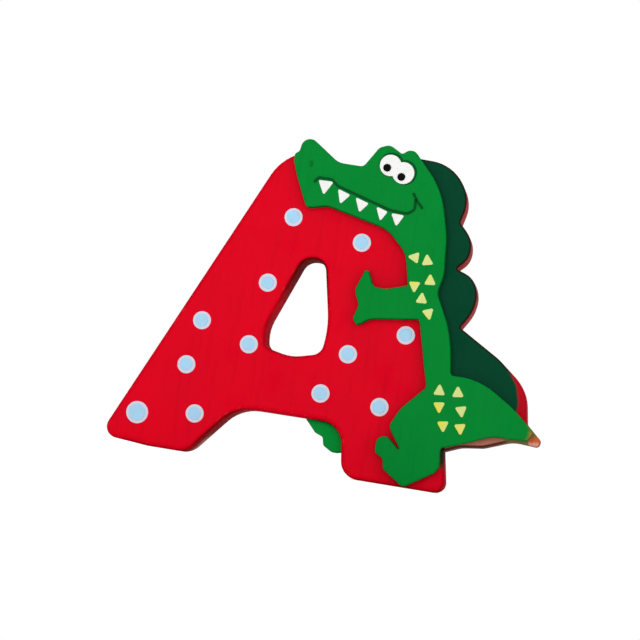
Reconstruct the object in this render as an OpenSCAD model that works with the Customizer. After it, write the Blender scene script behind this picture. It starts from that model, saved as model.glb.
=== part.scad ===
// Wooden nursery letter: a red A with dots, hugged by a green crocodile with a dark green crest.
// X runs to the right, Y to the back and Z up. The letter stands on its two feet at Z = 0,
// and the origin is under the middle of the whole letter. Lengths are millimetres.

/* [Letter] */
// Overall height, from the soles to the top of the crocodile's brow
letter_h = 80; // [60:1:120]
// Thickness of the letter board and of the crest board
board_t = 9; // [8:0.5:12]

/* [Crocodile] */
// Thickness of the crocodile plate on the front
plate_t = 2.5; // [2:0.5:5]
// Thickness of the rear foot, which sits back from the front
rear_foot_t = 6; // [5:0.5:7]

/* [Joinery] */
// Diameter of the dowels between letter board and crest board
dowel_d = 4; // [3:0.5:5]
// Length of those dowels
dowel_l = 13; // [8:0.5:13]
// Diameter of the dowel that pins the rear foot
foot_dowel_d = 2.5; // [1.5:0.5:2.5]
// Length of the rear foot's dowel
foot_dowel_l = 6; // [4:0.5:6]
// Room for glue round each dowel
glue_gap = 0.1; // [0.05:0.05:0.2]
// Room for glue past each end of a dowel
glue_end = 0.5; // [0.2:0.1:0.8]

/* [Printed marks] */
// Thickness of one coat of printed paint
coat_t = 0.2; // [0.1:0.05:0.3]
// Diameter of a dot
dot_d = 3; // [2.4:0.1:3.6]
// Diameter of the large dot on the left foot
big_dot_d = 4; // [3.6:0.1:4.6]
// Width of the pale ring that shows round each dot
ring_w = 0.7; // [0.3:0.1:0.8]
// Width of a triangular scale at its base
scale_w = 3; // [2:0.1:3.2]
// Height of a triangular scale
scale_h = 2.9; // [2:0.1:3]
// Width of the painted lines of the face
line_w = 0.6; // [0.3:0.1:0.6]

/* [Hidden] */
// Height at which the outlines below are drawn
drawn_h = 80;
size = letter_h / drawn_h;
// Largest distance between a round edge and its chords
chord_error = 0.02;

// Corners are [x, z, rounding radius], with x = 0 under the middle of the A.

// Top of the crocodile's head: nose, snout and the two brows
head_top = [
    [-4.6, 75.9, 0.8], [-4, 80.8, 2.2], [5.2, 74.4, 4], [11.3, 74.3, 1.5],
    [14.4, 79.4, 2], [16.8, 80.4, 2], [20.1, 78.6, 0.5], [22.4, 80.5, 2]
];

// Straight joint between letter board and crest board, hidden under the crocodile
seam_top = [24.2, 78.5, 0];
seam_foot = [40.7, 10, 0];

// Letter board: left edge and shoulder, head, joint, right foot, arch, left foot
letter_corners = concat(
    [[-30, 0, 30], [-42.3, 1, 2.8], [-9.5, 73.3, 12]],
    head_top,
    [seam_top, seam_foot, [42.6, 0, 2.4], [17.5, 0, 4.5]],
    [[15.6, 12.7, 5.5], [-10, 12.6, 10], [-20.5, 0, 4.5]]
);

// Hole inside the A
counter_corners = [
    [0.4, 50.7, 3.4], [-6.4, 32.8, 10], [-5.8, 28, 2.2], [1, 26.6, 10],
    [8, 28.4, 3], [8.8, 34.8, 25], [5.5, 50.7, 2.9]
];

// Crest board: four scallops down the back, then round the tail
crest_corners = [
    seam_top, [32.3, 78.2, 10], [37.6, 70.6, 8],
    [36.2, 64.6, 0.5], [39.6, 61, 6], [39.8, 56.2, 5],
    [36.9, 53.5, 0.4], [41.3, 52, 5], [43.1, 48, 7], [42.5, 43.7, 10],
    [40.1, 39.7, 0.4], [50.3, 33.7, 15], [57.9, 27.6, 10],
    [59.3, 19.5, 1], [63, 16.2, 0.9], [62.7, 14.5, 0.9],
    [56.5, 14.9, 8], [49.8, 12.3, 6], [44.5, 11.6, 8],
    seam_foot
];

// Crocodile plate, from its head clockwise
crocodile_corners = concat(head_top, [
    // Back and hip
    [30.8, 71.4, 20], [33.7, 60.5, 20], [34.5, 51.3, 6], [33.6, 46.8, 3],
    [37.3, 39.6, 20], [38.8, 34.5, 25], [39.8, 28, 0.8], [46.8, 28, 16],
    // Tail
    [56, 22.3, 30], [61.2, 17.6, 0.7], [60, 15.5, 1],
    [51.5, 15.2, 8], [45, 12.4, 20], [40, 10.6, 0.8],
    // Foot, and the slit behind its toe
    [40.7, 5.3, 3], [32.7, 0.1, 1.2], [27.3, 3.7, 1.5], [27, 6, 1.2],
    [24.8, 7.3, 1.4], [24.9, 11.4, 1.8], [27.4, 11.3, 0.6], [31.4, 7.8, 0.2],
    // Leg and belly
    [27.2, 13.8, 2], [29.2, 18.3, 10], [34.6, 24.3, 1.5], [33.4, 28.4, 8], [30.4, 40, 0.9],
    // Arm and hand
    [18.8, 38.4, 4], [15.7, 36.3, 0.6], [14.6, 37.8, 0.6], [15.5, 41.2, 2],
    [14, 44.6, 2], [16.1, 50.8, 0.6], [18.2, 46, 2], [21.5, 46, 6], [26.4, 47.6, 0.4],
    // Chest, jaw and nose
    [24.6, 55.1, 6], [19.4, 60.2, 8], [4.3, 63.7, 4], [-0.8, 62.5, 1.2],
    [-4.2, 69.6, 8], [-5.7, 73.5, 3], [-5.6, 75.1, 0.6]
]);

// Rear foot: toes at the lower left, the rest runs on into the leg and is cut to it
rear_foot_corners = [
    [6.4, 12.8, 0], [9.4, 9.6, 1.2], [11.3, 8.9, 0.6], [11.8, 6.9, 0.9], [14.2, 5.5, 1.5],
    [17.4, 6.2, 0], [17.4, 14, 0], [6.4, 14, 0]
];

// Dots: [x, z, 1 for the large one]
dots = [
    [-3.8, 60, 0], [13.6, 56.3, 0], [-7.4, 43.4, 0], [-21.8, 32, 0], [-9.5, 28, 0], [-23.8, 20.9, 0],
    [-33.8, 7.6, 1], [-19.8, 9.5, 0], [9.6, 19, 0], [14.6, 29.3, 0], [27.6, 35.9, 0], [24.1, 18, 0]
];

// Scales: [x, z, turn], six on the chest and six on the hip
scales = [
    [27, 54.4, 90], [30.1, 54, 12], [31.5, 49.4, 6], [28, 47.7, 185], [30.2, 44.8, 3], [32.3, 41.7, 200],
    [37.8, 23.9, 5], [42.2, 24.1, 8], [38.3, 20.3, 188], [43.6, 20.1, 195], [39.9, 16, 190], [44, 16, 192]
];
scale_round = 0.35;

// Teeth: the two corners on the mouth line and the point
teeth = [
    [[1.1, 69.5], [4.9, 69.6], [2.9, 66]],
    [[6.1, 68.1], [9.4, 67], [7.2, 64.4]],
    [[10.6, 66.7], [14.1, 65.6], [12.1, 63.1]],
    [[15.9, 65.2], [18.9, 64.3], [17.4, 61.7]],
    [[19.7, 64.1], [23, 64], [21.4, 61]]
];
tooth_round = 0.3;

// Eyes: [x, z, radius], and the dark outline shows most at the upper right
eyes = [[17.8, 75.4, 2.6], [21.1, 74, 2.65]];
pupils = [[17.1, 74.7, 0.95], [20.8, 73, 0.95]];
lid_shift = [0.2, 0.2];
lid_w = 0.35;

// Painted lines of the face, as paths with rounded bends
mouth_path = [
    [0.2, 68.8, 0], [1, 70.1, 0.8], [4.3, 70.1, 1.2], [6, 68.7, 2],
    [19.5, 64.7, 8], [23.6, 64.5, 1.2], [25.2, 65.7, 1], [25, 68.2, 0]
];
crease_path = [[24.2, 69.6, 0], [25.4, 67.9, 2], [27, 66.2, 0]];
nostril_path = [[-1.4, 73.8, 0], [-1.2, 73.1, 1], [-1.2, 72.5, 0]];

// Places of the dowels along the joint, as shares of its length
dowel_places = [0.15, 0.46, 0.8];
// Height of the rear foot's dowel, and where the leg's inner side is at that height
foot_dowel_z = 8.8;
foot_dowel_x = 16;

// Depths: the boards are flush at the front and at the back
coats_on_eye = 3;
depth = board_t + plate_t + coats_on_eye * coat_t;
back_y = depth / 2;
front_y = back_y - board_t;
plate_y = front_y - plate_t;
board_mid_y = back_y - board_t / 2;

// Outlines at full size, and the middle of the whole letter
letter_outline = rounded(sized(letter_corners));
counter_outline = rounded(sized(counter_corners));
crest_outline = rounded(sized(crest_corners));
crocodile_outline = rounded(sized(crocodile_corners));
rear_foot_outline = rounded(sized(rear_foot_corners));
left_x = min([for (p = letter_outline) p[0]]);
right_x = max([for (p = crest_outline) p[0]]);
mid_x = (left_x + right_x) / 2;

// Direction square to the joint, in which its dowels lie
seam = flat(seam_foot) - flat(seam_top);
dowel_turn = 90 + atan2(seam[1], seam[0]);

function numbered(stem, i) = str(stem, i < 9 ? "0" : "", i + 1);
function flat(p) = [p[0], p[1]];
function unit(v) = v / norm(v);
function sized(corners) = [for (c = corners) c * size];

// Angle of one chord on an arc of radius r
function chord_angle(r) = 2 * acos(1 - min(0.3, chord_error / r));

// Arc that rounds corner b between its neighbours a and c
function corner_arc(a, b, c) =
    let(
        corner = flat(b),
        r = b[2],
        u = unit(flat(a) - corner),
        v = unit(flat(c) - corner),
        half = acos(u * v) / 2,
        centre = corner + unit(u + v) * r / sin(half),
        first = corner + u * r / tan(half) - centre,
        last = corner + v * r / tan(half) - centre,
        start = atan2(first[1], first[0]),
        swing = atan2(last[1], last[0]) - start,
        turn = swing > 180 ? swing - 360 : swing < -180 ? swing + 360 : swing,
        steps = max(2, ceil(abs(turn) / chord_angle(r)))
    )
    [for (k = [0 : steps]) centre + r * [cos(start + turn * k / steps), sin(start + turn * k / steps)]];

function corner_points(a, b, c) = b[2] == 0 ? [flat(b)] : corner_arc(a, b, c);

// Closed outline with rounded corners
function rounded(c) =
    let(n = len(c))
    [for (i = [0 : n - 1]) each corner_points(c[(i + n - 1) % n], c[i], c[(i + 1) % n])];

// Open path with rounded bends
function rounded_path(c) =
    let(n = len(c))
    [flat(c[0]), for (i = [1 : n - 2]) each corner_points(c[i - 1], c[i], c[i + 1]), flat(c[n - 1])];

// Outline of a painted line of width w along a path
function stroke(path, w) =
    let(
        n = len(path),
        side = [
            for (i = [0 : n - 1])
                let(along = unit(path[min(i + 1, n - 1)] - path[max(i - 1, 0)]))
                [-along[1], along[0]] * w / 2
        ]
    )
    concat([for (i = [0 : n - 1]) path[i] + side[i]], [for (i = [n - 1 : -1 : 0]) path[i] - side[i]]);

// Upright slab of the 2D children, t thick, whose back is at depth y
module slab(y, t) {
    translate([-mid_x, y, 0])
        rotate([90, 0, 0])
            linear_extrude(t)
                children();
}

// One coat of paint on a surface at depth y, above the given number of coats
module coat(y, under = 0) {
    slab(y - under * coat_t, coat_t)
        children();
}

// Round pin along X, of length l and diameter d
module pin(l, d) {
    rotate([0, 90, 0])
        cylinder(h = l, d = d, center = true, $fn = 48);
}

// Dowels across the joint, or their bores with room for glue
module dowels(gap, past_end) {
    for (place = dowel_places) {
        p = (flat(seam_top) + seam * place) * size;
        translate([p[0] - mid_x, board_mid_y, p[1]])
            rotate([0, -dowel_turn, 0])
                pin(dowel_l * size + 2 * past_end, dowel_d + 2 * gap);
    }
}

// The rear foot's dowel, or its bore with room for glue
module foot_dowel(gap, past_end) {
    translate([foot_dowel_x * size - mid_x, back_y - rear_foot_t / 2, foot_dowel_z * size])
        pin(foot_dowel_l * size + 2 * past_end, foot_dowel_d * size + 2 * gap);
}

module letter_board() {
    color([0.86, 0.02, 0.12])
        difference() {
            slab(back_y, board_t) {
                difference() {
                    polygon(letter_outline);
                    polygon(counter_outline);
                }
            }
            dowels(glue_gap, glue_end);
            foot_dowel(glue_gap, glue_end);
        }
}

module crest_board() {
    color([0.03, 0.27, 0.17])
        difference() {
            slab(back_y, board_t)
                polygon(crest_outline);
            dowels(glue_gap, glue_end);
        }
}

module crocodile_plate() {
    color([0.02, 0.53, 0.19])
        slab(front_y, plate_t)
            polygon(crocodile_outline);
}

module rear_foot() {
    color([0.02, 0.53, 0.19])
        difference() {
            slab(back_y, rear_foot_t) {
                difference() {
                    polygon(rear_foot_outline);
                    polygon(letter_outline);
                }
            }
            foot_dowel(glue_gap, glue_end);
        }
}

module crest_dowels() {
    color([0.8, 0.65, 0.45])
        dowels(0, 0);
}

module rear_foot_dowel() {
    color([0.8, 0.65, 0.45])
        foot_dowel(0, 0);
}

function dot_size(dot) = (dot[2] == 1 ? big_dot_d : dot_d) * size;

module dot_rings() {
    color([0.85, 0.87, 0.94])
        for (dot = dots)
            coat(front_y)
                translate(flat(dot) * size)
                    circle(d = dot_size(dot) + 2 * ring_w * size, $fn = 48);
}

module blue_dot(dot) {
    color([0.66, 0.84, 0.93])
        coat(front_y, 1)
            translate(flat(dot) * size)
                circle(d = dot_size(dot), $fn = 48);
}

// The two joined eyes, wider by a margin
module eye_pair(margin) {
    for (eye = eyes)
        translate(flat(eye) * size)
            circle(r = (eye[2] + margin) * size, $fn = 64);
}

module eye_outline() {
    color([0.02, 0.3, 0.14])
        coat(plate_y)
            translate(lid_shift * size)
                eye_pair(lid_w);
}

module eye_whites() {
    color([0.97, 0.97, 0.97])
        coat(plate_y, 1)
            eye_pair(0);
}

module pupil(p) {
    color([0.03, 0.03, 0.03])
        coat(plate_y, 2)
            translate(flat(p) * size)
                circle(r = p[2] * size, $fn = 32);
}

module painted_line(path) {
    color([0.02, 0.3, 0.14])
        coat(plate_y)
            polygon(stroke(rounded_path(sized(path)), line_w * size));
}

module tooth(points) {
    color([0.97, 0.97, 0.97])
        coat(plate_y)
            polygon(rounded(sized([for (p = points) [p[0], p[1], tooth_round]])));
}

module belly_scale(spot) {
    r = scale_round;
    triangle = [[-scale_w / 2, -scale_h / 3, r], [scale_w / 2, -scale_h / 3, r], [0, scale_h * 2 / 3, r]];
    color([0.92, 0.88, 0.43])
        coat(plate_y)
            translate(flat(spot) * size)
                rotate(spot[2])
                    polygon(rounded(sized(triangle)));
}

letter_board();
crest_board();
crocodile_plate();
rear_foot();
crest_dowels();
rear_foot_dowel();
dot_rings();
eye_outline();
eye_whites();
pupil(pupils[0]);  // pupil_left
pupil(pupils[1]);  // pupil_right
painted_line(mouth_path);  // mouth_line
painted_line(crease_path);  // cheek_crease
painted_line(nostril_path);  // nostril
for (i = [0 : len(dots) - 1]) blue_dot(dots[i]);
for (i = [0 : len(scales) - 1]) belly_scale(scales[i]);
for (i = [0 : len(teeth) - 1]) tooth(teeth[i]);
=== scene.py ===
"""Paint, rounded edges and studio for the wooden nursery letter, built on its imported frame."""

import math
from collections import namedtuple

import bmesh
import bpy
from bpy.props import FloatProperty, FloatVectorProperty, IntProperty, PointerProperty
from mathutils import Matrix, Vector


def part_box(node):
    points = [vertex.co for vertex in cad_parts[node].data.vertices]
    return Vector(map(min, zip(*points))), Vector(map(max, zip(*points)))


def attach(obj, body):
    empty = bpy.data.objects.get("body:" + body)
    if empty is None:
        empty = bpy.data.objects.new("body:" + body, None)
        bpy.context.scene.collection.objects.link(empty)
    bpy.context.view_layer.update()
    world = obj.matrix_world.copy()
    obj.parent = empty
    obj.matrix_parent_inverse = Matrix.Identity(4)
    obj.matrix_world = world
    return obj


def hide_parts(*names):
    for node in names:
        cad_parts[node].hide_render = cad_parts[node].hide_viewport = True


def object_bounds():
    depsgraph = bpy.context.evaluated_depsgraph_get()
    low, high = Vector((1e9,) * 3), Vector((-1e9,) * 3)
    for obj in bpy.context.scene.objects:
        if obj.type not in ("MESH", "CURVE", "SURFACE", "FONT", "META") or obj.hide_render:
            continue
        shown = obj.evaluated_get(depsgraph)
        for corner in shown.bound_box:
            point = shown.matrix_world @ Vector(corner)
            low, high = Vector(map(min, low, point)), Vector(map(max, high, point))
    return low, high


bl_info = {
    "name": "Wooden nursery letter",
    "version": (1, 0, 0),
    "blender": (4, 5, 0),
    "location": "3D View > Sidebar > Letter",
    "description": "Paints the wooden nursery letter and sets up its studio",
    "category": "Object",
}

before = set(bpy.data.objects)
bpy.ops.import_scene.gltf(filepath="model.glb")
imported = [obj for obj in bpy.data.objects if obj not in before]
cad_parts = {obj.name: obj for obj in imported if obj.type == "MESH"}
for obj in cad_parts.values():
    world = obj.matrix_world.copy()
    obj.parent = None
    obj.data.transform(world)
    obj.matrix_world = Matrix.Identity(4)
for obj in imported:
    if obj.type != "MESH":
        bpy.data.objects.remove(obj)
CAD_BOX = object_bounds()

MM = 0.001

# The two faces of a board, as the sign of their depth
FRONT = -1
BACK = 1
# Vertices of a CAD node that are this close are one vertex
WELD = 0.002 * MM
# Faces of a CAD node that are within this angle of each other are one face
FLAT_ANGLE = math.radians(0.3)
# Edges that turn more than this stay crisp
CRISP_ANGLE = math.radians(50)
# A level ring of this width inside a rounded edge keeps the shading of the flat face even
LEVEL_RING = 0.05 * MM

# Depths that the paint follows, from the frame
BOARD_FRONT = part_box("letter_board")[0].y
BOARD_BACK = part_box("letter_board")[1].y
PLATE_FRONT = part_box("crocodile_plate")[0].y
FOOT_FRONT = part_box("rear_foot")[0].y

# Places on the letter, across and up from the ground
LETTER_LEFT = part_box("letter_board")[0].x
LEG_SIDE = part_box("letter_board")[1].x
HOLE_TOP = (LETTER_LEFT + 42.4 * MM, 50 * MM)
ARCH_LEFT = (LETTER_LEFT + 27 * MM, 7.5 * MM)
LEFT_HEEL = (LETTER_LEFT + 22.4 * MM, 1 * MM)

# Places on the crest board, across and up from the ground
TAIL_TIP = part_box("crest_board")[1].x
HIP = (TAIL_TIP - 18 * MM, 23 * MM)

# The joint of the two boards runs through the middle of its dowels and leans by this angle
JOINT_LEAN = math.radians(13.5)
JOINT_MIDDLE = (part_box("crest_dowels")[0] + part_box("crest_dowels")[1]) / 2
JOINT_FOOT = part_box("crest_board")[0].z
JOINT_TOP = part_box("crest_board")[1].z

# Borders of a paint, where it starts and where it is full, as depths behind the front of a piece
LETTER_EDGE = (0.03 * MM, 0.4 * MM)
# Painted shade: the letter's sawn edges darken towards the back between these depths
LETTER_DEEP = (1 * MM, 6 * MM)
HEEL_DEEP = (3.5 * MM, 6 * MM)
# Painted shade on the crest's rounded front edge
CREST_RIM_SHADE = (0.01 * MM, 0.2 * MM)
CREST_EDGE = (0.5 * MM, 0.8 * MM)
# Painted shade on the lower rim of the tail's front
TAIL_RIM_SHADE = (0, 0.08 * MM)
TIP_SCUFFS = (3 * MM, 1 * MM)
PLATE_EDGE = (0.03 * MM, 0.3 * MM)
RUBS_START = (0.02 * MM, 0.12 * MM)
RUBS_END = (0.5 * MM, 0.3 * MM)
# Borders by the distance from a spot
# Painted shade at the top of the hole and in the arch fades within these distances of their spots
HOLE_SHADE_REACH = (14 * MM, 4 * MM)
ARCH_SHADE_REACH = (11 * MM, 4 * MM)
# The heel of the left foot turns pale rose within this distance of its spot
HEEL_PALE = (6 * MM, 2 * MM)
STRIP_START = (11.2 * MM, 11.9 * MM)
# Borders by the distance across from the tip of the tail
STRIP_LEFT = (-11 * MM, -9 * MM)
TIP_THIN = (-9 * MM, -6.5 * MM)
TIP_WORN = (-2.9 * MM, -2.4 * MM)
PLATE_TIP_WORN = (-3.6 * MM, -2 * MM)
# Borders by the height above the ground
TAIL_TOP = (19.4 * MM, 18.6 * MM)
# Painted shade on the sawn edge below the tail, by height
TAIL_SHADE_BELOW = (16.8 * MM, 15 * MM)
TIP_BARE_TOP = (15 * MM, 15.8 * MM)
TIP_WORN_TOP = (16.4 * MM, 17.4 * MM)
# Borders of the painted shade on the leg under the tail, from the side of the leg and from the foot of the
# joint
UNDER_TAIL_LEFT = (-2.4 * MM, -2 * MM)
UNDER_TAIL_END = (-5 * MM, -2.7 * MM)
# The end of the painted shade rises by this share of the depth
UNDER_TAIL_SLANT = 0.4
# Border of the bare wood, from the back of the board
BARE_START = (-0.22 * MM, -0.14 * MM)
# Borders of the glued joint, from its middle, its foot and its top
JOINT_SIDE = (0.8 * MM, 0.6 * MM)
JOINT_FOOT_END = (0.6 * MM, 1 * MM)
JOINT_TOP_END = (-0.6 * MM, -1 * MM)
# The joint is bare by this much further to the front
JOINT_BARE = 1 * MM

# A pattern of noise: its patches, where it shows, its shift, and its part in a tone, a roughness or a line
Pattern = namedtuple(
    "Pattern", "width detail stretch show shift tone rough reach",
    defaults=(3.0, (1, 1, 1), None, 0, 0.0, 0.0, 0.0),
)
PAINT_PATCHES = Pattern(14 * MM, tone=0.16, rough=0.08)
PAINT_SPECKS = Pattern(0.7 * MM, detail=2.0, show=(0.55, 0.8), shift=3, tone=-0.06)
PAINT_GRAIN = Pattern(1.1 * MM, detail=4.0, stretch=(1, 1, 14), shift=7, tone=-0.08)
PAINT_RUBS = Pattern(6 * MM, detail=6.0, show=(0.52, 0.7), shift=11, rough=0.14)
PAINT_RIPPLE = Pattern(0.9 * MM, detail=2.0, shift=17)
EDGE_RUBS = Pattern(1.6 * MM, detail=5.0, show=(0.56, 0.66), shift=40)
EDGE_PATCHES = Pattern(5 * MM, shift=25, tone=0.4)
SAW_MARKS = Pattern(0.5 * MM, stretch=(1, 24, 1), shift=20, tone=0.36, rough=0.2)
PRINT_DENSITY = Pattern(1.8 * MM, tone=0.12, rough=0.12)
PRINT_SPECKS = Pattern(0.25 * MM, detail=2.0, show=(0.6, 0.8), shift=5, tone=0.06)
PRINT_RIPPLE = Pattern(0.6 * MM, shift=9)
PRINT_THIN = Pattern(7 * MM, detail=1.0, show=(0.36, 0.52), shift=76)
RING_SWAY = Pattern(11 * MM, detail=2.0, reach=6 * MM)
RING_SPREAD = Pattern(8 * MM, detail=1.0, shift=9)
WOOD_FIBRES = Pattern(0.3 * MM, shift=3, tone=0.24, rough=0.2)
WOOD_FLECKS = Pattern(0.3 * MM, detail=1.0, show=(0.66, 0.74), shift=6, tone=0.6)
BACK_LINE = Pattern(1.6 * MM, detail=4.0, shift=-1, reach=0.4 * MM)
UNDER_TAIL_LINE = Pattern(1.5 * MM, detail=5.0, shift=50, reach=2 * MM)
STRIP_LINE = Pattern(2.5 * MM, shift=3, reach=0.5 * MM)
CREST_TIP_LINE = Pattern(1.2 * MM, detail=5.0, shift=4, reach=2 * MM)
PLATE_TIP_LINE = Pattern(1.2 * MM, detail=5.0, shift=6, reach=1.5 * MM)
# Where a pattern shows in the tone, if its whole range also bends the surface or the rings
GRAIN_SHOWS = (0.5, 0.75)
DENSITY_SHOWS = (0.4, 0.7)
RINGS_SHOW = (0.3, 0.75)
# Shade of a paint or of the wood before its patterns, and of the lighter and darker places in it
PAINT_SHADE = 0.93
EDGE_SHADE = 0.62
WOOD_SHADE = 0.88
PRINT_DARK = 0.7
PRINT_LIGHT = 1.3
FLECK_DARK = 0.75
RUB_LIGHT = 1.5
# Where each finish starts in the noise
SEEDS = {
    "red_paint": 1.0,
    "crest_paint": 2.0,
    "crocodile_paint": 3.0,
    "rear_foot_paint": 4.0,
    "bare_wood": 4.0,
    "pale_print": 11.0,
    "blue_print": 12.0,
    "lid_print": 13.0,
    "eye_print": 14.0,
    "pupil_print": 15.0,
    "line_print": 16.0,
    "tooth_print": 17.0,
    "scale_print": 18.0,
    "nostril_print": 19.0,
    "letter_back": 32.0,
    "crest_back": 36.0,
}

# Growth of the wood: its core lies behind the board and slants, with rings round it
ACROSS = 0
UP = 2
CORE_DEPTH = 14 * MM
CORE_SLANT = 0.14
RING_WIDTH = 2.7 * MM
RING_SHARPNESS = 4
RING_TONE = 0.8
# Fibres and streaks of the wood are this many times longer than wide
FIBRE_LENGTH = 30
STREAK_LENGTH = 6

# The floor starts to melt into the room at this distance, and ends at its rim
FLOOR_RIM = 420 * MM
FLOOR_FADE = (150 * MM, FLOOR_RIM)
FLOOR_SIDES = 64
# Width of the camera's sensor in millimetres
SENSOR_WIDTH = 36


def srgb(red, green, blue):
    """Linear colour from the 0 to 255 values that a picture shows."""
    def linear(value):
        share = value / 255
        return share / 12.92 if share <= 0.04045 else ((share + 0.055) / 1.055) ** 2.4
    return linear(red), linear(green), linear(blue)


def length(name, description, millimetres):
    """Property for a length, given in millimetres."""
    return FloatProperty(
        name=name, description=description, default=millimetres * MM,
        min=0.0, precision=6, subtype="DISTANCE", unit="LENGTH",
    )


def place(name, description, *millimetres):
    """Property for a point in the letter's frame, given in millimetres."""
    return FloatVectorProperty(
        name=name, description=description, default=[value * MM for value in millimetres],
        size=3, precision=5, subtype="XYZ", unit="LENGTH",
    )


def colour(name, description, *levels):
    """Property for a paint colour, given as 0 to 255 values."""
    return FloatVectorProperty(
        name=name, description=description, default=srgb(*levels),
        size=3, min=0.0, max=1.0, subtype="COLOR",
    )


def fraction(name, description, default):
    """Property for a share from 0 to 1."""
    return FloatProperty(
        name=name, description=description, default=default, min=0.0, max=1.0, subtype="FACTOR",
    )


def power(name, description, watts):
    """Property for the power of a lamp."""
    return FloatProperty(name=name, description=description, default=watts, min=0.0, subtype="POWER")


class LetterSizes(bpy.types.PropertyGroup):
    """Rounding of the wood and relief of the paint"""

    letter_round: length("Letter edge", "Radius of the letter board's sanded front edges", 1.2)
    crest_round: length("Crest edge", "Radius of the crest board's sanded front edges", 0.8)
    back_round: length("Back edge", "Radius of the edges at the back of the boards", 0.4)
    plate_round: length("Crocodile edge", "Radius of the crocodile's front edge", 0.4)
    foot_round: length("Rear foot edge", "Radius of the rear foot's edges", 0.5)
    mark_rim: length("Mark rim", "How far in from its edge a printed mark swells", 0.12)
    mark_rise: length("Mark rise", "How high the rim of a printed mark rises", 0.12)
    ripple: length("Paint ripple", "Height of the fine ripple in the paint", 0.012)
    print_ripple: length("Print ripple", "Height of the fine ripple in the prints", 0.006)
    grain: length("Grain", "Height of the wood grain that shows through the paint", 0.01)
    saw_marks: length("Saw marks", "Depth of the saw's marks on the edges", 0.02)
    round_steps: IntProperty(
        name="Edge steps", description="Faces across a rounded edge", default=6, min=2, max=12,
    )


class LetterFinish(bpy.types.PropertyGroup):
    """Gloss and wear of the paints, the prints and the wood"""

    paint_rough: fraction("Paint roughness", "Roughness of the paint where it is smoothest", 0.4)
    edge_rough: fraction("Edge roughness", "Roughness of the sawn edges where they are smoothest", 0.62)
    print_rough: fraction("Print roughness", "Roughness of the prints where they are smoothest", 0.34)
    wood_rough: fraction("Wood roughness", "Roughness of the bare wood where it is smoothest", 0.55)
    paint_gloss: fraction("Paint gloss", "Specular level of the paint", 0.025)
    letter_edge_gloss: fraction("Letter edge gloss", "Specular level of the letter's sawn edges", 0.02)
    crest_edge_gloss: fraction("Crest edge gloss", "Specular level of the crest's sawn edges", 0.12)
    green_edge_gloss: fraction("Green edge gloss", "Specular level of the crocodile's sawn edges", 0.05)
    print_gloss: fraction("Print gloss", "Specular level of the prints", 0.02)
    wood_gloss: fraction("Wood gloss", "Specular level of the bare wood", 0.2)
    rubs: fraction("Rubbed edges", "How far the undercoat shows where the letter's edges are rubbed", 0.18)
    # Painted shade in the arch: how much of it shows
    arch_shade: fraction("Arch scorch", "How much of the scorched tone the arch has", 0.8)
    tip_wear: fraction("Tip wear", "How far the undercoat shows at the tip of the crocodile's tail", 0.5)


class LetterColours(bpy.types.PropertyGroup):
    """Paints and prints"""

    red: colour("Red", "Front of the letter", 225, 0, 31)
    red_edge: colour("Red edge", "Sawn edges of the letter, near the front", 206, 2, 28)
    # Painted shade: sawn edges of the letter darker towards the back
    red_deep_shade: colour("Deep red edge", "Sawn edges of the letter, near the back", 184, 14, 32)
    # Painted shade, dark red, at the top of the hole and in the arch
    recess_shade: colour("Scorched edge", "Where the saw turned and scorched the letter's edge", 114, 4, 5)
    crest: colour("Dark green", "Front of the crest", 0, 66, 42)
    crest_edge: colour("Crest edge", "Sawn edges of the crest", 172, 42, 38)
    # Painted shade on the crest's rounded front edge
    crest_rim_shade: colour("Crest rim", "Dark line where the crest's front meets its edge", 34, 22, 15)
    strip: colour("Strip", "Red strip at the lower right of the crest", 186, 8, 30)
    # Pale rose on the front below the tail and on the heel of the left foot
    pale_rose: colour("Thin paint", "Thin paint below the tail and on the worn heel", 186, 118, 100)
    worn: colour("Worn tip", "Undercoat that shows at the tip of the tail", 206, 96, 56)
    bare_tip: colour("Bare tip", "Where the tip of the tail is worn most", 226, 156, 132)
    thin_tip: colour("Thin tip", "Thin green towards the tip of the tail", 116, 114, 64)
    # Painted shade on the lower rim and the sawn edge of the tail
    tail_edge_shade: colour("Tail edge", "Lower rim and sawn edge of the tail", 92, 42, 30)
    # Painted shade on the leg under the tail
    under_tail_shade: colour("Spill", "Dark green paint that ran over the leg below the tail", 38, 52, 27)
    crocodile: colour("Light green", "Front of the crocodile", 0, 135, 49)
    rear_foot: colour("Rear foot green", "Front of the rear foot", 0, 148, 54)
    # Painted shade: the crocodile's sawn edges darker than its front
    crocodile_edge_shade: colour("Green edge", "Sawn edges of the crocodile", 0, 98, 33)
    dot: colour("Dot blue", "Dots on the letter", 174, 221, 250)
    dot_ring: colour("Dot ring", "Pale print under each dot", 218, 221, 237)
    scale: colour("Scale yellow", "Triangular scales", 234, 230, 92)
    scale_pale: colour("Pale yellow", "Scales where their print is thin", 220, 232, 146)
    white: colour("White", "Eyes and teeth", 248, 248, 246)
    pupil: colour("Pupil black", "Pupils", 8, 8, 8)
    line: colour("Line green", "Mouth and lids", 2, 80, 34)
    nostril: colour("Nostril green", "Nostril", 0, 116, 42)
    wood: colour("Bare wood", "Back of the boards and dowels", 224, 190, 146)
    ring: colour("Growth ring", "Darker rings in the bare wood", 196, 150, 104)


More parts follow.
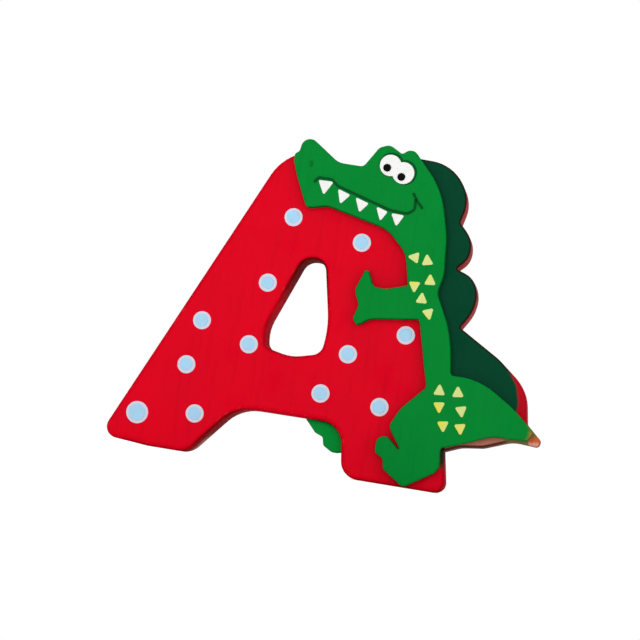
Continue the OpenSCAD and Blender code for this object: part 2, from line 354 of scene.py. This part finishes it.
class StageSettings(bpy.types.PropertyGroup):
    """Camera, lamps and floor"""

    camera_place: place("Camera", "Where the camera stands", 65, -492.95, 3)
    camera_aim: place("Aim", "Point in the middle of the picture", -4.4, -2.95, 36.4)
    camera_roll: FloatProperty(
        name="Roll", description="How far the camera is turned about its line of sight",
        default=math.radians(9.3), subtype="ANGLE", unit="ROTATION",
    )
    camera_lens: FloatProperty(
        name="Lens", description="Focal length of the camera",
        default=116.3, min=10.0, subtype="DISTANCE_CAMERA",
    )
    key_power: power("Key", "Large lamp in front", 3.2)
    key_width: length("Key width", "Width of the large lamp in front", 600)
    key_place: place("Key place", "Where the large lamp in front stands", -60, -720, 90)
    fill_power: power("Fill", "Weak lamp at the right", 0.8)
    fill_width: length("Fill width", "Width of the weak lamp at the right", 500)
    fill_place: place("Fill place", "Where the weak lamp at the right stands", 520, -520, 200)
    top_power: power("Top", "Lamp overhead", 2.0)
    top_width: length("Top width", "Width of the lamp overhead", 600)
    top_place: place("Top place", "Where the lamp overhead hangs", -60, 60, 800)
    back_power: power("Back", "Lamp behind the letter", 2.2)
    back_width: length("Back width", "Width of the lamp behind the letter", 600)
    back_place: place("Back place", "Where the lamp behind the letter stands", -420, 560, 300)
    ambient: fraction("Ambient", "Light from the room all round", 0.3)
    floor: colour("Floor", "Pale floor", 244, 244, 244)
    floor_glow: fraction("Floor glow", "How far the floor shines to the eye, lighting nothing else", 0.55)


class Value:
    """Output of a shader node. Arithmetic on it adds Math nodes."""

    def __init__(self, shader, socket):
        self.shader = shader
        self.socket = socket

    def math(self, operation, first, second):
        return self.shader.add("Math", {"operation": operation}, {0: first, 1: second})

    def __add__(self, other):
        return self.math("ADD", self, other)

    __radd__ = __add__

    def __mul__(self, other):
        return self.math("MULTIPLY", self, other)

    __rmul__ = __mul__

    def __sub__(self, other):
        return self.math("SUBTRACT", self, other)

    def __rsub__(self, other):
        return self.math("SUBTRACT", other, self)

    def __truediv__(self, other):
        return self.math("DIVIDE", self, other)

    def __rtruediv__(self, other):
        return self.math("DIVIDE", other, self)

    def __pow__(self, other):
        return self.math("POWER", self, other)

    def __rpow__(self, other):
        return self.math("POWER", other, self)


class Shader:
    """Node tree of a material or of the world, and the way to add nodes to it."""

    def __init__(self, owner):
        owner.use_nodes = True
        self.tree = owner.node_tree
        self.tree.nodes.clear()

    def add(self, kind, settings=None, sockets=None, out=0):
        """Adds a node of a kind, with its settings and the values or links of its sockets."""
        node = self.tree.nodes.new("ShaderNode" + kind)
        for key, value in (settings or {}).items():
            setattr(node, key, value)
        for key, value in (sockets or {}).items():
            if isinstance(value, Value):
                self.tree.links.new(value.socket, node.inputs[key])
            else:
                node.inputs[key].default_value = value
        return Value(self, node.outputs[out]) if node.outputs else node

    def point(self):
        """Place on the piece, in metres."""
        return self.add("TexCoord", out="Object")

    def axes(self, point):
        """The three parts of a point as values."""
        split = self.add("SeparateXYZ", sockets={0: point}).socket.node
        return [Value(self, socket) for socket in split.outputs]

    def away(self, point, spot):
        """Distance of a point from a spot, seen from the front."""
        across, _, height = self.axes(point)
        out_x = across - spot[0]
        out_z = height - spot[1]
        return (out_x * out_x + out_z * out_z) ** 0.5

    def rise(self, value, border, start=0.0):
        """Smooth step of a value from 0 to 1 between the two sides of a border, measured from a start."""
        low, high = border
        sockets = {"Value": value, "From Min": start + low, "From Max": start + high}
        return self.add("MapRange", {"interpolation_type": "SMOOTHSTEP"}, sockets)

    def noise(self, point, pattern, seed):
        """Noise from 0 to 1 in a pattern, which the seed shifts."""
        start = seed + pattern.shift
        scale = [1 / (pattern.width * times) for times in pattern.stretch]
        sockets = {"Vector": point, "Location": (start, start, start), "Scale": scale}
        shifted = self.add("Mapping", sockets=sockets)
        sockets = {"Vector": shifted, "Scale": 1.0, "Detail": pattern.detail}
        noise = self.add("TexNoise", sockets=sockets)
        return self.rise(noise, pattern.show) if pattern.show else noise

    def ragged(self, point, pattern, seed):
        """Distance by which a ragged line wanders to both sides."""
        return (self.noise(point, pattern, seed) - 0.5) * pattern.reach

    def mix(self, share, first, second):
        """Colour between two colours."""
        sockets = {0: share, 6: opaque(first), 7: opaque(second)}
        return self.add("Mix", {"data_type": "RGBA"}, sockets, out=2)

    def tint(self, tone, share):
        """Colour darkened or lightened by a value."""
        sockets = {0: 1.0, 6: opaque(tone), 7: share}
        return self.add("Mix", {"data_type": "RGBA", "blend_type": "MULTIPLY"}, sockets, out=2)

    def bump(self, height, distance):
        """Normal bent by a height from 0 to 1 of a depth in metres."""
        return self.add("Bump", sockets={"Height": height, "Distance": distance, "Strength": 1.0})

    def wave(self, value):
        """Wave from 0 to 1 that repeats each time the value grows by 1."""
        return self.add("Math", {"operation": "SINE"}, {0: value * (2 * math.pi)}) * 0.5 + 0.5

    def paint(self, tone, roughness, normal, specular):
        """Shade of a painted or bare surface."""
        return self.add("BsdfPrincipled", sockets={
            "Base Color": tone, "Roughness": roughness, "Normal": normal, "Specular IOR Level": specular,
        })

    def cover(self, share, under, over):
        """Shade under another that covers a share of it."""
        return self.add("MixShader", sockets={0: share, 1: under, 2: over})

    def surface(self, shade):
        """Connects the shade that the material shows."""
        self.add("OutputMaterial", sockets={"Surface": shade})


def opaque(value):
    """A colour with full alpha, or a link as it is."""
    return value if isinstance(value, Value) else (*value, 1.0)


def shade_of(value, share):
    """A colour darkened or lightened by a share."""
    return tuple(min(1.0, level * share) for level in value)


def drawn_out(pattern, times, axis):
    """A pattern drawn out along one axis."""
    stretch = [1, 1, 1]
    stretch[axis] = times
    return pattern._replace(stretch=stretch)


def new_material(name):
    """Empty material and its shader."""
    material = bpy.data.materials.new(name)
    return material, Shader(material)


def coat_of_paint(shader, point, tone, seed):
    """Satin paint over wood: patchy tone, rubbed spots, fine ripple and grain that shows through."""
    sizes = bpy.context.scene.letter_sizes
    finish = bpy.context.scene.letter_finish
    patches = shader.noise(point, PAINT_PATCHES, seed)
    specks = shader.noise(point, PAINT_SPECKS, seed)
    grain = shader.noise(point, PAINT_GRAIN, seed)
    rubbed = shader.noise(point, PAINT_RUBS, seed)
    ripple = shader.noise(point, PAINT_RIPPLE, seed)
    shade = PAINT_SHADE + patches * PAINT_PATCHES.tone + specks * PAINT_SPECKS.tone
    shade = shade + shader.rise(grain, GRAIN_SHOWS) * PAINT_GRAIN.tone
    roughness = finish.paint_rough + patches * PAINT_PATCHES.rough + rubbed * PAINT_RUBS.rough
    rippled = shader.bump(ripple, sizes.ripple)
    grained = shader.add("Bump", sockets={"Height": grain, "Distance": sizes.grain, "Normal": rippled})
    return shader.paint(shader.tint(tone, shade), roughness, grained, finish.paint_gloss)


def rubbed_edge(shader, point, front, seed):
    """Share of the small rubbed places on the rounded edge behind a front at that depth."""
    depth = shader.axes(point)[1]
    band = shader.rise(depth, RUBS_START, front) * shader.rise(depth, RUBS_END, front)
    return band * shader.noise(point, EDGE_RUBS, seed)


def sawn_edge(shader, point, tone, seed, specular):
    """Thin paint on a sawn edge, with the saw's marks across it."""
    sizes = bpy.context.scene.letter_sizes
    finish = bpy.context.scene.letter_finish
    marks = shader.noise(point, SAW_MARKS, seed)
    patches = shader.noise(point, EDGE_PATCHES, seed)
    shade = EDGE_SHADE + marks * SAW_MARKS.tone + patches * EDGE_PATCHES.tone
    tone = shader.tint(tone, shade)
    roughness = finish.edge_rough + marks * SAW_MARKS.rough
    return shader.paint(tone, roughness, shader.bump(marks, sizes.saw_marks), specular)


def sanded_wood(shader, point, seed, along=UP):
    """Pale bare wood: growth rings round a core behind the board, fibres and flecks along one axis."""
    colours = bpy.context.scene.letter_colours
    sizes = bpy.context.scene.letter_sizes
    finish = bpy.context.scene.letter_finish
    across, depth, height = shader.axes(point)
    wide, long = (across, height) if along == UP else (height, across)
    behind = depth + long * CORE_SLANT + CORE_DEPTH
    sway = shader.noise(point, drawn_out(RING_SWAY, STREAK_LENGTH, along), seed)
    spread = shader.noise(point, drawn_out(RING_SPREAD, STREAK_LENGTH, along), seed)
    fibres = shader.noise(point, drawn_out(WOOD_FIBRES, FIBRE_LENGTH, along), seed)
    flecks = shader.noise(point, drawn_out(WOOD_FLECKS, STREAK_LENGTH, along), seed)
    flecks = flecks * WOOD_FLECKS.tone
    reach = (wide * wide + behind * behind) ** 0.5 + sway * RING_SWAY.reach
    rings = shader.wave(reach / RING_WIDTH + spread) ** RING_SHARPNESS
    rings = rings * shader.rise(spread, RINGS_SHOW) * RING_TONE
    tone = shader.mix(rings, colours.wood, colours.ring)
    tone = shader.mix(flecks, tone, shade_of(colours.ring, FLECK_DARK))
    tone = shader.tint(tone, WOOD_SHADE + fibres * WOOD_FIBRES.tone)
    roughness = finish.wood_rough + fibres * WOOD_FIBRES.rough
    return shader.paint(tone, roughness, shader.bump(fibres - flecks, sizes.grain), finish.wood_gloss)


def at_joint(shader, point):
    """1 on the edges where the two boards meet, which were glued before the paint."""
    across, _, height = shader.axes(point)
    aside = (across - JOINT_MIDDLE.x) * math.cos(JOINT_LEAN)
    aside = aside + (height - JOINT_MIDDLE.z) * math.sin(JOINT_LEAN)
    near = shader.rise(shader.add("Math", {"operation": "ABSOLUTE"}, {0: aside}), JOINT_SIDE)
    above_foot = shader.rise(height, JOINT_FOOT_END, JOINT_FOOT)
    return near * above_foot * shader.rise(height, JOINT_TOP_END, JOINT_TOP)


def bare_back(shader, point, shade, seed, lean=0.0):
    """Covers the back of a painted board with bare wood, up to a ragged line on its rounded edge."""
    depth = shader.axes(point)[1]
    line = depth + shader.ragged(point, BACK_LINE, seed)
    bare = shader.rise(line + at_joint(shader, point) * JOINT_BARE, BARE_START, BOARD_BACK)
    along_grain = shader.add("Mapping", sockets={"Vector": point, "Rotation": (0, lean, 0)})
    return shader.cover(bare, shade, sanded_wood(shader, along_grain, seed))


def red_paint():
    """Letter board: bright red front, sawn edges that darken as painted shade towards the back, at the top
    of the hole and in the arch, painted shade on the leg under the tail, and a bare back.
    """
    colours = bpy.context.scene.letter_colours
    finish = bpy.context.scene.letter_finish
    seed = SEEDS["red_paint"]
    material, shader = new_material("red_paint")
    point = shader.point()
    across, depth, height = shader.axes(point)
    # Painted shade: the sawn edge darkens towards the back
    deep = shader.rise(depth, LETTER_DEEP, BOARD_FRONT)
    edge_tone = shader.mix(deep, colours.red_edge, colours.red_deep_shade)
    # Painted shade darkens the edge at the top of the hole and in the arch, and the heel of the left foot
    # turns pale rose towards the back
    hole_shade = shader.rise(shader.away(point, HOLE_TOP), HOLE_SHADE_REACH)
    arch_shade = shader.rise(shader.away(point, ARCH_LEFT), ARCH_SHADE_REACH) * finish.arch_shade
    edge_tone = shader.mix(hole_shade + arch_shade, edge_tone, colours.recess_shade)
    heel = shader.rise(shader.away(point, LEFT_HEEL), HEEL_PALE)
    heel = heel * shader.rise(depth, HEEL_DEEP, BOARD_FRONT)
    edge_tone = shader.mix(heel, edge_tone, colours.pale_rose)
    # Painted shade, dark olive, on the edge and front of the leg under the tail, right of the crocodile's
    # foot
    shade_end = height + shader.ragged(point, UNDER_TAIL_LINE, seed)
    shade_end = shade_end - (depth - BOARD_FRONT) * UNDER_TAIL_SLANT
    under_tail_shade = shader.rise(across, UNDER_TAIL_LEFT, LEG_SIDE) * shader.rise(shade_end, UNDER_TAIL_END, JOINT_FOOT)
    edge_tone = shader.mix(under_tail_shade, edge_tone, colours.under_tail_shade)
    rubbed = rubbed_edge(shader, point, BOARD_FRONT, seed)
    front_tone = shader.mix(rubbed * finish.rubs, colours.red, colours.worn)
    front_tone = shader.mix(under_tail_shade, front_tone, colours.under_tail_shade)
    shade = coat_of_paint(shader, point, front_tone, seed)
    edge_shade = sawn_edge(shader, point, edge_tone, seed, finish.letter_edge_gloss)
    shade = shader.cover(shader.rise(depth, LETTER_EDGE, BOARD_FRONT), shade, edge_shade)
    shader.surface(bare_back(shader, point, shade, SEEDS["letter_back"]))
    return material


def crest_paint():
    """Crest board: dark green front with a red strip, a worn tail and painted shade on its rim and under
    the tail, red sawn edges and a bare back.
    """
    colours = bpy.context.scene.letter_colours
    finish = bpy.context.scene.letter_finish
    seed = SEEDS["crest_paint"]
    material, shader = new_material("crest_paint")
    point = shader.point()
    across, depth, height = shader.axes(point)
    wobble = shader.ragged(point, STRIP_LINE, seed)
    ragged = shader.ragged(point, CREST_TIP_LINE, seed)
    # The strip lies outside an arc round the hip
    strip = shader.rise(shader.away(point, HIP) + wobble, STRIP_START)
    strip = strip * shader.rise(across, STRIP_LEFT, TAIL_TIP)
    tone = shader.mix(strip, colours.crest, colours.strip)
    # Painted shade: a dark line on the crest's rounded front edge, outside the strip
    rim = shader.rise(depth, CREST_RIM_SHADE, BOARD_FRONT) * (1 - strip)
    tone = shader.mix(rim, tone, colours.crest_rim_shade)
    # Below the crocodile's tail the front is pale rose, with painted shade on its lower rim
    tail = shader.rise(height + wobble, TAIL_TOP)
    tail_rim_shade = shader.rise(depth, TAIL_RIM_SHADE, BOARD_FRONT)
    tail_tone = shader.mix(tail_rim_shade, colours.pale_rose, colours.tail_edge_shade)
    thin = shader.rise(across + ragged, TIP_THIN, TAIL_TIP)
    tail_tone = shader.mix(thin, tail_tone, colours.thin_tip)
    tone = shader.mix(tail, tone, tail_tone)
    # The tip is worn bare at its lower side and thinly green at its upper side
    tip = shader.rise(across + ragged, TIP_WORN, TAIL_TIP)
    above_bare = shader.rise(height + ragged, TIP_BARE_TOP)
    above_worn = shader.rise(height + ragged, TIP_WORN_TOP)
    tip_tone = shader.mix(above_bare, colours.bare_tip, colours.worn)
    tip_tone = shader.mix(above_worn, tip_tone, colours.thin_tip)
    tone = shader.mix(tail * tip, tone, tip_tone)
    shade = coat_of_paint(shader, point, tone, seed)
    # Painted shade on the sawn edge below the tail
    below = shader.rise(height + wobble, TAIL_SHADE_BELOW)
    scuffs = shader.rise(depth + ragged, TIP_SCUFFS, BOARD_FRONT)
    edge_tone = shader.mix(below, colours.crest_edge, colours.tail_edge_shade)
    edge_tone = shader.mix(tip * scuffs, edge_tone, colours.worn)
    edge_shade = sawn_edge(shader, point, edge_tone, seed, finish.crest_edge_gloss)
    shade = shader.cover(shader.rise(depth, CREST_EDGE, BOARD_FRONT), shade, edge_shade)
    shader.surface(bare_back(shader, point, shade, SEEDS["crest_back"], lean=JOINT_LEAN))
    return material


def crocodile_paint(name, green, front):
    """Light green, with painted shade on the sawn edge behind a front at that depth."""
    colours = bpy.context.scene.letter_colours
    finish = bpy.context.scene.letter_finish
    seed = SEEDS[name]
    material, shader = new_material(name)
    point = shader.point()
    across, depth, _ = shader.axes(point)
    rubbed = rubbed_edge(shader, point, front, seed)
    tone = shader.mix(rubbed, green, shade_of(green, RUB_LIGHT))
    # The undercoat starts to show towards the tip of the tail
    ragged = shader.ragged(point, PLATE_TIP_LINE, seed)
    tip = shader.rise(across + ragged, PLATE_TIP_WORN, TAIL_TIP)
    tone = shader.mix(tip * finish.tip_wear, tone, colours.worn)
    shade = coat_of_paint(shader, point, tone, seed)
    # Painted shade on the sawn edge
    edge_shade = sawn_edge(shader, point, colours.crocodile_edge_shade, seed, finish.green_edge_gloss)
    shader.surface(shader.cover(shader.rise(depth, PLATE_EDGE, front), shade, edge_shade))
    return material


def printed_mark(name, tone, faded=None):
    """Smooth printed paint of uneven density, which may fade to a second tone in places."""
    sizes = bpy.context.scene.letter_sizes
    finish = bpy.context.scene.letter_finish
    seed = SEEDS[name]
    material, shader = new_material(name)
    point = shader.point()
    density = shader.noise(point, PRINT_DENSITY, seed)
    specks = shader.noise(point, PRINT_SPECKS, seed)
    ripple = shader.noise(point, PRINT_RIPPLE, seed)
    shaded = tone
    if faded:
        shaded = shader.mix(shader.noise(point, PRINT_THIN, seed), tone, faded)
    dense = shader.rise(density, DENSITY_SHOWS) * PRINT_DENSITY.tone
    shaded = shader.mix(dense, shaded, shade_of(tone, PRINT_DARK))
    shaded = shader.mix(specks * PRINT_SPECKS.tone, shaded, shade_of(tone, PRINT_LIGHT))
    roughness = finish.print_rough + density * PRINT_DENSITY.rough
    normal = shader.bump(ripple, sizes.print_ripple)
    shader.surface(shader.paint(shaded, roughness, normal, finish.print_gloss))
    return material


def bare_wood():
    """Pale turned wood for the dowels."""
    material, shader = new_material("bare_wood")
    shader.surface(sanded_wood(shader, shader.point(), SEEDS["bare_wood"], along=ACROSS))
    return material


def merged_copy(node):
    """A CAD node's shape with its loose triangles joined into whole faces."""
    shape = bmesh.new()
    shape.from_mesh(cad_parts[node].data)
    bmesh.ops.remove_doubles(shape, verts=shape.verts, dist=WELD)
    bmesh.ops.dissolve_limit(shape, angle_limit=FLAT_ANGLE, verts=shape.verts, edges=shape.edges)
    return shape


def round_over(shape, side, inset, rise):
    """Rounds the rim of all faces at the front or the back, inset wide and rise high."""
    steps = bpy.context.scene.letter_sizes.round_steps
    level = max(corner.co.y * side for corner in shape.verts) - WELD
    cap = [face for face in shape.faces if all(corner.co.y * side > level for corner in face.verts)]
    corners = list({corner for face in cap for corner in face.verts})
    bmesh.ops.translate(shape, verts=corners, vec=(0, -side * rise, 0))
    for step in range(steps):
        start = math.pi / 2 * step / steps
        end = math.pi / 2 * (step + 1) / steps
        bmesh.ops.inset_region(
            shape, faces=cap, use_boundary=True, use_even_offset=True,
            thickness=inset * (math.cos(start) - math.cos(end)),
            depth=rise * (math.sin(end) - math.sin(start)),
        )
    bmesh.ops.inset_region(
        shape, faces=cap, use_boundary=True, use_even_offset=True, thickness=LEVEL_RING,
    )
    return cap


def finished(shape, node, material, flat_faces=()):
    """Makes a piece of a shape, hangs it on the letter's root body and hides its CAD node."""
    for face in shape.faces:
        face.smooth = True
    for face in flat_faces:
        face.smooth = False
    mesh = bpy.data.meshes.new("painted_" + node)
    shape.to_mesh(mesh)
    shape.free()
    mesh.materials.append(material)
    mesh.set_sharp_from_angle(angle=CRISP_ANGLE)
    piece = bpy.data.objects.new(mesh.name, mesh)
    bpy.context.scene.collection.objects.link(piece)
    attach(piece, "root")
    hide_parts(node)


def painted_board(node, material, front_round, back_round):
    """A sawn board with its front and back edges rounded."""
    shape = merged_copy(node)
    flat_faces = round_over(shape, FRONT, front_round, front_round)
    flat_faces += round_over(shape, BACK, back_round, back_round)
    finished(shape, node, material, flat_faces)


def painted_marks(nodes, material):
    """Printed marks with swollen rims, one piece for each node."""
    sizes = bpy.context.scene.letter_sizes
    for node in nodes:
        shape = merged_copy(node)
        flat_faces = round_over(shape, FRONT, sizes.mark_rim, sizes.mark_rise)
        finished(shape, node, material, flat_faces)


def nodes_named(stem):
    """The CAD nodes of one numbered kind, in order."""
    return sorted(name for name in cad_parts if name.startswith(stem))


class LETTER_OT_letter_board(bpy.types.Operator):
    """Round and paint the red letter board"""

    bl_idname = "letter.letter_board"
    bl_label = "Letter board"

    def execute(self, context):
        sizes = context.scene.letter_sizes
        painted_board("letter_board", red_paint(), sizes.letter_round, sizes.back_round)
        return {"FINISHED"}


class LETTER_OT_crest_board(bpy.types.Operator):
    """Round and paint the crest board"""

    bl_idname = "letter.crest_board"
    bl_label = "Crest board"

    def execute(self, context):
        sizes = context.scene.letter_sizes
        painted_board("crest_board", crest_paint(), sizes.crest_round, sizes.back_round)
        return {"FINISHED"}


class LETTER_OT_crocodile(bpy.types.Operator):
    """Round and paint the crocodile plate"""

    bl_idname = "letter.crocodile"
    bl_label = "Crocodile"

    def execute(self, context):
        sizes = context.scene.letter_sizes
        green = context.scene.letter_colours.crocodile
        paint = crocodile_paint("crocodile_paint", green, PLATE_FRONT)
        shape = merged_copy("crocodile_plate")
        flat_faces = round_over(shape, FRONT, sizes.plate_round, sizes.plate_round)
        finished(shape, "crocodile_plate", paint, flat_faces)
        return {"FINISHED"}


class LETTER_OT_rear_foot(bpy.types.Operator):
    """Round and paint the rear foot"""

    bl_idname = "letter.rear_foot"
    bl_label = "Rear foot"

    def execute(self, context):
        sizes = context.scene.letter_sizes
        green = context.scene.letter_colours.rear_foot
        paint = crocodile_paint("rear_foot_paint", green, FOOT_FRONT)
        painted_board("rear_foot", paint, sizes.foot_round, sizes.foot_round)
        return {"FINISHED"}


class LETTER_OT_dowels(bpy.types.Operator):
    """Give the hidden dowels their bare wood"""

    bl_idname = "letter.dowels"
    bl_label = "Dowels"

    def execute(self, context):
        wood = bare_wood()
        for node in ("crest_dowels", "rear_foot_dowel"):
            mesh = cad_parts[node].data
            mesh.materials.clear()
            mesh.materials.append(wood)
        return {"FINISHED"}


class LETTER_OT_dots(bpy.types.Operator):
    """Print the dots and the pale rings under them"""

    bl_idname = "letter.dots"
    bl_label = "Dots"

    def execute(self, context):
        colours = context.scene.letter_colours
        painted_marks(["dot_rings"], printed_mark("pale_print", colours.dot_ring))
        dots = [node for node in nodes_named("dot_") if node != "dot_rings"]
        painted_marks(dots, printed_mark("blue_print", colours.dot))
        return {"FINISHED"}


class LETTER_OT_eyes(bpy.types.Operator):
    """Print the eyes, their lids and their pupils"""

    bl_idname = "letter.eyes"
    bl_label = "Eyes"

    def execute(self, context):
        colours = context.scene.letter_colours
        painted_marks(["eye_outline"], printed_mark("lid_print", colours.line))
        painted_marks(["eye_whites"], printed_mark("eye_print", colours.white))
        pupils = nodes_named("pupil_")
        painted_marks(pupils, printed_mark("pupil_print", colours.pupil))
        return {"FINISHED"}


class LETTER_OT_face_lines(bpy.types.Operator):
    """Print the mouth, the cheek crease and the nostril"""

    bl_idname = "letter.face_lines"
    bl_label = "Face lines"

    def execute(self, context):
        colours = context.scene.letter_colours
        ink = printed_mark("line_print", colours.line)
        for node in ("mouth_line", "cheek_crease"):
            finished(merged_copy(node), node, ink)
        nostril_ink = printed_mark("nostril_print", colours.nostril)
        finished(merged_copy("nostril"), "nostril", nostril_ink)
        return {"FINISHED"}


class LETTER_OT_teeth(bpy.types.Operator):
    """Print the teeth"""

    bl_idname = "letter.teeth"
    bl_label = "Teeth"

    def execute(self, context):
        ink = printed_mark("tooth_print", context.scene.letter_colours.white)
        painted_marks(nodes_named("tooth_"), ink)
        return {"FINISHED"}


class LETTER_OT_scales(bpy.types.Operator):
    """Print the yellow scales"""

    bl_idname = "letter.scales"
    bl_label = "Scales"

    def execute(self, context):
        colours = context.scene.letter_colours
        ink = printed_mark("scale_print", colours.scale, faded=colours.scale_pale)
        painted_marks(nodes_named("scale_"), ink)
        return {"FINISHED"}


def lamp(name, watts, width, spot):
    """Square soft lamp that faces the middle of the letter."""
    light = bpy.data.lights.new(name, "AREA")
    light.energy = watts
    light.size = width
    holder = bpy.data.objects.new(name, light)
    holder.location = spot
    middle = (CAD_BOX[0] + CAD_BOX[1]) / 2
    holder.rotation_euler = (middle - holder.location).to_track_quat("-Z", "Y").to_euler()
    bpy.context.scene.collection.objects.link(holder)


def seen(shader):
    """1 where the camera, a reflection or glass looks, 0 for the light that falls on things."""
    path = shader.add("LightPath").socket.node
    camera_ray = Value(shader, path.outputs["Is Camera Ray"])
    glossy_ray = Value(shader, path.outputs["Is Glossy Ray"])
    glass_ray = Value(shader, path.outputs["Is Transmission Ray"])
    sockets = {0: camera_ray + glossy_ray, 1: glass_ray}
    return shader.add("Math", {"operation": "ADD", "use_clamp": True}, sockets)


def room(settings):
    """White room to look at, which gives only a little light itself."""
    world = bpy.data.worlds.new("room")
    shader = Shader(world)
    strength = settings.ambient + seen(shader) * (1 - settings.ambient)
    shade = shader.add("Background", sockets={"Color": (1, 1, 1, 1), "Strength": strength})
    shader.add("OutputWorld", sockets={"Surface": shade})
    bpy.context.scene.world = world


def pale_floor(settings):
    """Round pale floor that keeps the letter's shadow and melts into the white room at its rim."""
    shape = bmesh.new()
    bmesh.ops.create_circle(shape, cap_ends=True, segments=FLOOR_SIDES, radius=FLOOR_RIM)
    mesh = bpy.data.meshes.new("floor")
    shape.to_mesh(mesh)
    shape.free()
    material, shader = new_material("pale_floor")
    away = shader.add("VectorMath", {"operation": "LENGTH"}, {0: shader.point()}, out="Value")
    tone = opaque(settings.floor)
    matt = shader.add("BsdfDiffuse", sockets={"Color": tone})
    strength = seen(shader) * settings.floor_glow
    glow = shader.add("Emission", sockets={"Color": tone, "Strength": strength})
    lit = shader.add("AddShader", sockets={0: matt, 1: glow})
    clear = shader.add("BsdfTransparent")
    shader.surface(shader.cover(shader.rise(away, FLOOR_FADE), lit, clear))
    mesh.materials.append(material)
    floor = bpy.data.objects.new("floor", mesh)
    bpy.context.scene.collection.objects.link(floor)


def camera(settings):
    """Camera at the photograph's place, turned about its line of sight."""
    lens = bpy.data.cameras.new("camera")
    lens.lens = settings.camera_lens
    lens.sensor_width = SENSOR_WIDTH
    eye = bpy.data.objects.new("camera", lens)
    ahead = (Vector(settings.camera_aim) - Vector(settings.camera_place)).normalized()
    upright = ahead.to_track_quat("-Z", "Y").to_matrix()
    turned = upright @ Matrix.Rotation(settings.camera_roll, 3, "Z")
    eye.matrix_world = Matrix.Translation(settings.camera_place) @ turned.to_4x4()
    bpy.context.scene.collection.objects.link(eye)
    bpy.context.scene.camera = eye


class LETTER_OT_stage(bpy.types.Operator):
    """Set up the floor, the room, the lamps and the camera"""

    bl_idname = "letter.stage"
    bl_label = "Stage"

    def execute(self, context):
        settings = context.scene.letter_stage
        context.scene.view_settings.view_transform = "Standard"
        room(settings)
        pale_floor(settings)
        camera(settings)
        lamp("key_lamp", settings.key_power, settings.key_width, settings.key_place)
        lamp("fill_lamp", settings.fill_power, settings.fill_width, settings.fill_place)
        lamp("top_lamp", settings.top_power, settings.top_width, settings.top_place)
        lamp("back_lamp", settings.back_power, settings.back_width, settings.back_place)
        return {"FINISHED"}


class LETTER_PT_panel(bpy.types.Panel):
    """Steps that paint the letter"""

    bl_idname = "LETTER_PT_panel"
    bl_label = "Nursery letter"
    bl_space_type = "VIEW_3D"
    bl_region_type = "UI"
    bl_category = "Letter"

    def draw(self, context):
        for step in STEPS:
            self.layout.operator(step.bl_idname)


STEPS = (
    LETTER_OT_stage,
    LETTER_OT_letter_board,
    LETTER_OT_crest_board,
    LETTER_OT_crocodile,
    LETTER_OT_rear_foot,
    LETTER_OT_dowels,
    LETTER_OT_dots,
    LETTER_OT_eyes,
    LETTER_OT_face_lines,
    LETTER_OT_teeth,
    LETTER_OT_scales,
)
SETTINGS = {
    "letter_sizes": LetterSizes,
    "letter_finish": LetterFinish,
    "letter_colours": LetterColours,
    "letter_stage": StageSettings,
}


def register():
    """Makes the settings, the steps and the panel known to Blender."""
    for name, group in SETTINGS.items():
        bpy.utils.register_class(group)
        setattr(bpy.types.Scene, name, PointerProperty(type=group))
    for step in STEPS:
        bpy.utils.register_class(step)
    bpy.utils.register_class(LETTER_PT_panel)


def unregister():
    """Takes them out again."""
    bpy.utils.unregister_class(LETTER_PT_panel)
    for step in reversed(STEPS):
        bpy.utils.unregister_class(step)
    for name, group in SETTINGS.items():
        delattr(bpy.types.Scene, name)
        bpy.utils.unregister_class(group)


def main():
    """Builds the painted letter."""
    register()
    bpy.ops.letter.stage()
    bpy.ops.letter.letter_board()
    bpy.ops.letter.crest_board()
    bpy.ops.letter.crocodile()
    bpy.ops.letter.rear_foot()
    bpy.ops.letter.dowels()
    bpy.ops.letter.dots()
    bpy.ops.letter.eyes()
    bpy.ops.letter.face_lines()
    bpy.ops.letter.teeth()
    bpy.ops.letter.scales()


if __name__ == "__main__":
    main()
